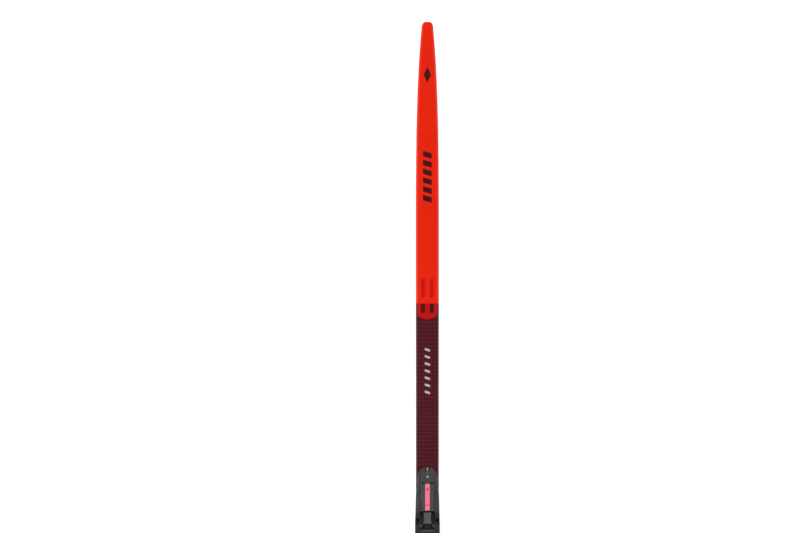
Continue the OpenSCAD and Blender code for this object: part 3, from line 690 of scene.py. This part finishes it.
def tongue():
    """Two darker red bars, then the rounded tongue behind the red with two dark slots."""
    film("red_bars", box_pair(*DARK_BARS, y=8.3, half=3.6, radius=2.0), "bar_ink")
    margin, roundness, steps = 0.4, 0.8, 24
    wide = flat_half(HALF_LENGTH - TONGUE_CURVE) - margin
    curve = []
    for k in range(steps + 1):
        a = math.pi * k / steps
        reach = (TONGUE_END - TONGUE_CURVE) * abs(math.sin(a)) ** roundness
        curve.append((TONGUE_CURVE + reach, wide * math.cos(a)))
    wide = flat_half(HALF_LENGTH - RED_END) - margin
    film("dark_red_tongue", [[(RED_END, wide)] + curve + [(RED_END, -wide)]], "dark_red_ink")
    gap, length = 0.5, 18.0
    slots = box_pair(RED_END + gap, RED_END + length, y=8.5, half=4.0, radius=2.4)
    film("tongue_slots", slots, "dark_ink", lift=2 * FILM)


def light_bars():
    """Seven small light slanted bars along the middle."""
    count, half, length, slant = 7, 4.9, 4.4, 3.2
    pitch = (LIGHT_MARKS[1] - LIGHT_MARKS[0] - length - slant) / (count - 1)
    bars = slanted_bars(LIGHT_MARKS[0], pitch, count, length, half, slant)
    film("light_bars", bars, "light_ink", lift=2 * FILM)


def grid():
    """Fine square grid on the maroon part, from the tongue to the tail, left open under the rail plate."""
    half_x, half_y, columns = 0.8, 0.75, 6
    row_height, column_height = FILM, 0.8 * FILM
    edge_gap, tongue_gap, tail_gap, plate_gap = 0.5, 2.0, 12.0, 1.0
    web_half = 13.2
    plate_low, plate_high = (v.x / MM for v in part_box("mounting_plate"))
    plate_rear, plate_front = plate_low - plate_gap, plate_high + plate_gap
    verts, faces = [], []

    def strip(points_a, points_b, height):
        """Ribbon between two rows of (x, y) points, a little above the topsheet."""
        first = len(verts)
        for (xa, ya), (xb, yb) in zip(points_a, points_b):
            for lift in (-SINK, height):
                verts.append((xa, ya, top_z(xa) + lift))
                verts.append((xb, yb, top_z(xb) + lift))
        for i in range(len(points_a) - 1):
            a, b = first + 4 * i, first + 4 * (i + 1)
            faces.extend([(a + 2, b + 2, b + 3, a + 3), (a, a + 1, b + 1, b), (a, b, b + 2, a + 2),
                          (a + 1, a + 3, b + 3, b + 1)])
        last = first + 4 * (len(points_a) - 1)
        faces.extend([(first, first + 2, first + 3, first + 1), (last, last + 1, last + 3, last + 2)])

    front = HALF_LENGTH - TONGUE_END - tongue_gap
    pitch_x, pitch_y = GRID_PITCH
    rows = int((front + HALF_LENGTH - tail_gap) / pitch_x)
    rear = front - pitch_x * rows
    for row in range(rows):
        x = front - pitch_x * (row + 0.5)
        edge = flat_half(x) - edge_gap
        under = plate_rear < x < plate_front
        for y0, y1 in ((-edge, -web_half), (web_half, edge)) if under else ((-edge, edge),):
            strip([(x - half_x, y0), (x - half_x, y1)], [(x + half_x, y0), (x + half_x, y1)], row_height)
    for k in range(columns):
        y = (k + 0.5 - columns / 2) * pitch_y
        spans = [(rear, front)] if abs(y) > web_half else [(rear, plate_rear), (plate_front, front)]
        for x0, x1 in spans:
            xs = stations(x0, x1)
            strip([(v, y - half_y) for v in xs], [(v, y + half_y) for v in xs], column_height)
    piece("grid_print", verts, faces, "ski", ["grid_ink"], smooth=20)


# ---------- binding ----------

def joint(name):
    """The frame's joint of that name."""
    return next(j for j in frame["joints"] if j["name"] == name)


def toe(point):
    """A row-frame point in metres as millimetres ahead of the toe bar, left of it, and above the deck."""
    return Vector((point.x / MM - TOE_X, point.y / MM, point.z / MM - DECK_Z))


def soften(node, width, face, edge=None, *, segments=3, angle=32, zones=()):
    """Gives a CAD node its materials and rounds its edges with modifiers. The mesh itself stays as packed.
    The edge material, a lighter copy, goes on the bevel's faces as a painted highlight. Each of zones is
    (material, test), and test(place, normal) says whether a face belongs to it."""
    obj = nodes[node]
    mesh = obj.data
    if "custom_normal" in mesh.attributes:
        mesh.attributes.remove(mesh.attributes["custom_normal"])
    mesh.materials.clear()
    for name in (face, edge or face, *(zone[0] for zone in zones)):
        mesh.materials.append(MATERIALS[name])
    for polygon in mesh.polygons:
        place = toe(polygon.center)
        polygon.material_index = 0
        for i, (name, test) in enumerate(zones):
            if test(place, polygon.normal):
                polygon.material_index = i + 2
    smooth_by_angle(mesh, angle)
    weld = obj.modifiers.new("weld", "WELD")
    weld.merge_threshold = CLOSEST / 2 * MM
    if width:
        bevel = obj.modifiers.new("edges", "BEVEL")
        bevel.width = width * MM
        bevel.segments = segments
        bevel.limit_method = "ANGLE"
        bevel.angle_limit = math.radians(angle)
        bevel.harden_normals = True
        bevel.use_clamp_overlap = True
        bevel.miter_outer = "MITER_ARC"
        # The bevel's faces take the second slot, a lighter copy: a painted highlight on the rounded edges.
        bevel.material = 1 if edge else -1
    return obj


def plain(node, face):
    """Gives a CAD node one material."""
    mesh = nodes[node].data
    mesh.materials.clear()
    mesh.materials.append(MATERIALS[face])


def coil(name, y, x0, x1, z, radius, wire, turns):
    """A compression spring along X with closed end turns."""
    steps, sides = 28, 10
    dead, lead = 0.9, wire * 2.05    # number of close turns at each end, and how far one takes the wire
    free = (x1 - x0 - 2 * wire - 2 * dead * lead) / (turns - 2 * dead)
    total = int(turns * steps)

    def along(t):
        """Length of spring used up to turn t."""
        if t < dead:
            return t * lead
        if t > turns - dead:
            return x1 - x0 - 2 * wire - (turns - t) * lead
        return dead * lead + (t - dead) * free

    centres = []
    for i in range(total + 1):
        a = 2 * math.pi * i / steps
        centres.append(Vector((x0 + wire + along(i / steps),
                               y + radius * math.cos(a), z + radius * math.sin(a))))
    verts, faces = [], []
    for i, c in enumerate(centres):
        a = centres[max(0, i - 1)]
        b = centres[min(total, i + 1)]
        forward = (b - a).normalized()
        out = (c - Vector((c.x, y, z))).normalized()
        out = (out - forward * out.dot(forward)).normalized()
        side = forward.cross(out)
        for k in range(sides):
            ang = 2 * math.pi * k / sides
            verts.append(c + (out * math.cos(ang) + side * math.sin(ang)) * wire)
    for i in range(total):
        for k in range(sides):
            a, b = i * sides + k, i * sides + (k + 1) % sides
            faces.append((a, b, b + sides, a + sides))
    faces += [tuple(range(sides - 1, -1, -1)), tuple(range(total * sides, (total + 1) * sides))]
    return piece(name, verts, faces, "binding", ["steel"], smooth=60)


def springs():
    """The two springs that push the jaw back, which shorten as the lever opens it."""
    low, high = (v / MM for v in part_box("jaw_springs"))
    radius, wire, turns = 1.6, 0.35, 7.0
    z = (low.z + high.z) / 2
    for name, y in (("left", high.y - radius - wire), ("right", low.y + radius + wire)):
        made = coil("jaw_spring_" + name, y, low.x, high.x, z, radius, wire, turns)
        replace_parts(made, "jaw_springs")
        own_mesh(made)


FAR = 1000.0      # beyond every place on the ski
ANY = (-FAR, FAR)
FLAT_TOP = 0.9    # least upward part of the normal of a face that counts as a top


def inside(place, along=ANY, aside=ANY, height=ANY):
    """Whether a place is within ranges ahead of the toe bar, from the centre line, and above the deck."""
    spans = ((place.x, along), (abs(place.y), aside), (place.z, height))
    return all(low < value < high for value, (low, high) in spans)


def low_top(place, normal):
    """Tops of the housing and the heel plate beside the boot, which get painted shade."""
    return normal.z > FLAT_TOP and inside(place, along=(-FAR, 30), height=(-FAR, 6.8))


def cavity(place, normal):
    """The flexor's bay, and the grooves at the feet of the boot's guide ridges, which get painted shade."""
    bay = inside(place, along=(8.9, 31.8), aside=(-FAR, 14.05), height=(-FAR, 12))
    ridge_foot = inside(place, along=(-FAR, 8.1), aside=(15.5, 16.65), height=(-FAR, 6.3))
    return bay or ridge_foot


def hollow(place, normal):
    """The hollows at the boot's front corners, painted nearly black as shade."""
    return inside(place, along=(6, 20.5), aside=(14.5, 22.5), height=(1.5, 6.45))


def post_top(place, normal):
    """Tops of the two posts ahead of the toe bar, which get the lighter edge copy as a painted highlight.
    """
    return normal.z > FLAT_TOP and inside(place, along=(2.9, 6.7), aside=(9, 15.5), height=(9.5, FAR))


def shoulder(place, normal):
    """Slopes beside the flexor, where the housing falls to the boot's height; they get painted shade."""
    return normal.z > 0.5 and inside(place, along=(20.9, 28), aside=(14, FAR))


def seam(place, normal):
    """Narrow seams of the housing's flanks, and the one behind the lever's plate, which get painted shade.
    """
    hinge = inside(place, along=(37.7, 38.8), aside=(-FAR, 17.5), height=(14.5, 15.4))
    flank = inside(place, aside=(19.2, 20.3), height=(9.1, 9.3))
    return (hinge and abs(normal.y) < 0.5) or flank


def seat_top(place, normal):
    """Top of the bar seat's rear wall, in a paler, less metallic steel."""
    return normal.z > FLAT_TOP and inside(place, along=(-FAR, -2))


def index_recess(place, normal):
    """Floor and slopes of the recess around the index marks, which get painted shade."""
    return normal.z > 0.1 and inside(place, along=(108.4, FAR), aside=(-FAR, 5.05), height=(-FAR, 12))


def round_mark(place, normal):
    """The round index dot, behind the other mark."""
    return inside(place, along=(-FAR, 107))


def inlay_prints():
    """A deeper pink band across the lever's inlay near the hinge, and a small lozenge near its front."""
    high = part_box("lever_inlay")[1] / MM
    pivot = joint("lever_flip")["pos_m"][0] / MM
    margin, mark_half = 0.05, 2.3
    half, mark_middle = high.y - margin, sum(INLAY_MARK) / 2
    (band_rear, band_front), (mark_rear, mark_front) = INLAY_BAND, INLAY_MARK
    band = [(band_rear, -half), (band_front, -half), (band_front, half), (band_rear, half)]
    lozenge = [(mark_rear, 0), (mark_middle, -mark_half), (mark_front, 0), (mark_middle, mark_half)]
    prints = (("inlay_band", band, "deep_pink"), ("inlay_lozenge", lozenge, "inlay_ink"))
    for name, outline, material in prints:
        verts = []
        for lift in (-2 * SINK, FILM):
            for x, y in outline:
                verts.append((TOE_X + x, y, high.z - (TOE_X + x - pivot) * LEVER_FALL + lift))
        faces = [(0, 1, 2, 3), (4, 5, 6, 7)] + [(i, (i + 1) % 4, (i + 1) % 4 + 4, i + 4) for i in range(4)]
        piece(name, verts, faces, "flip_lever", [material])


def binding():
    """The binding's looks: CAD nodes with rounded edges, prints on the lever, and springs."""
    soften("mounting_plate", 0.3, "plate")
    # The toe housing's zones paint shade into its low tops, shoulders, bay, seams and corner hollows, and a
    # highlight on its post tops.
    soften("toe_housing", 0.4, "flank", "flank_edge_highlight",
           zones=(("housing_low_shade", low_top), ("housing_low_shade", shoulder), ("recess", cavity), ("recess", seam),
                  ("deep_recess_shade", hollow), ("housing_edge", post_top)))
    soften("nose_cover", 0.4, "housing", "housing_edge", zones=(("recess", index_recess),))
    soften("index_marks", 0.12, "mark", segments=2, zones=(("dim_mark", round_mark),))
    soften("clamp_strip", 0.2, "steel")
    soften("bar_seat", 0.25, "dark_steel", zones=(("pale_top_steel", seat_top),))
    soften("flexor", 0.9, "flexor", segments=4)
    soften("lever_pin", 0.2, "steel")
    soften("toe_pad", 0.2, "rubber", "rubber_edge_highlight")
    soften("link_strip", 0.15, "steel")
    soften("heel_plate", 0.5, "flank", "flank_edge_highlight", zones=(("housing_low_shade", low_top),))
    soften("heel_pad", 0.2, "rubber", "rubber_edge_highlight")
    soften("lever", 0.4, "lever", "lever_edge_highlight", zones=(("recess", seam),))
    soften("lever_inlay", 0.2, "pink")
    soften("crank_pin", 0.15, "steel")
    soften("jaw", 0.25, "dark_steel")
    soften("lock_screw", 0.12, "screw")
    inlay_prints()
    springs()


camera()
studio()
floor()
topsheet()
layers()
tip_lozenge()
front_bars()
tongue()
light_bars()
grid()
plain("upper_laminate", "laminate")
plain("core_stringers", "wood")
plain("binding_reinforcement", "glass")
binding()
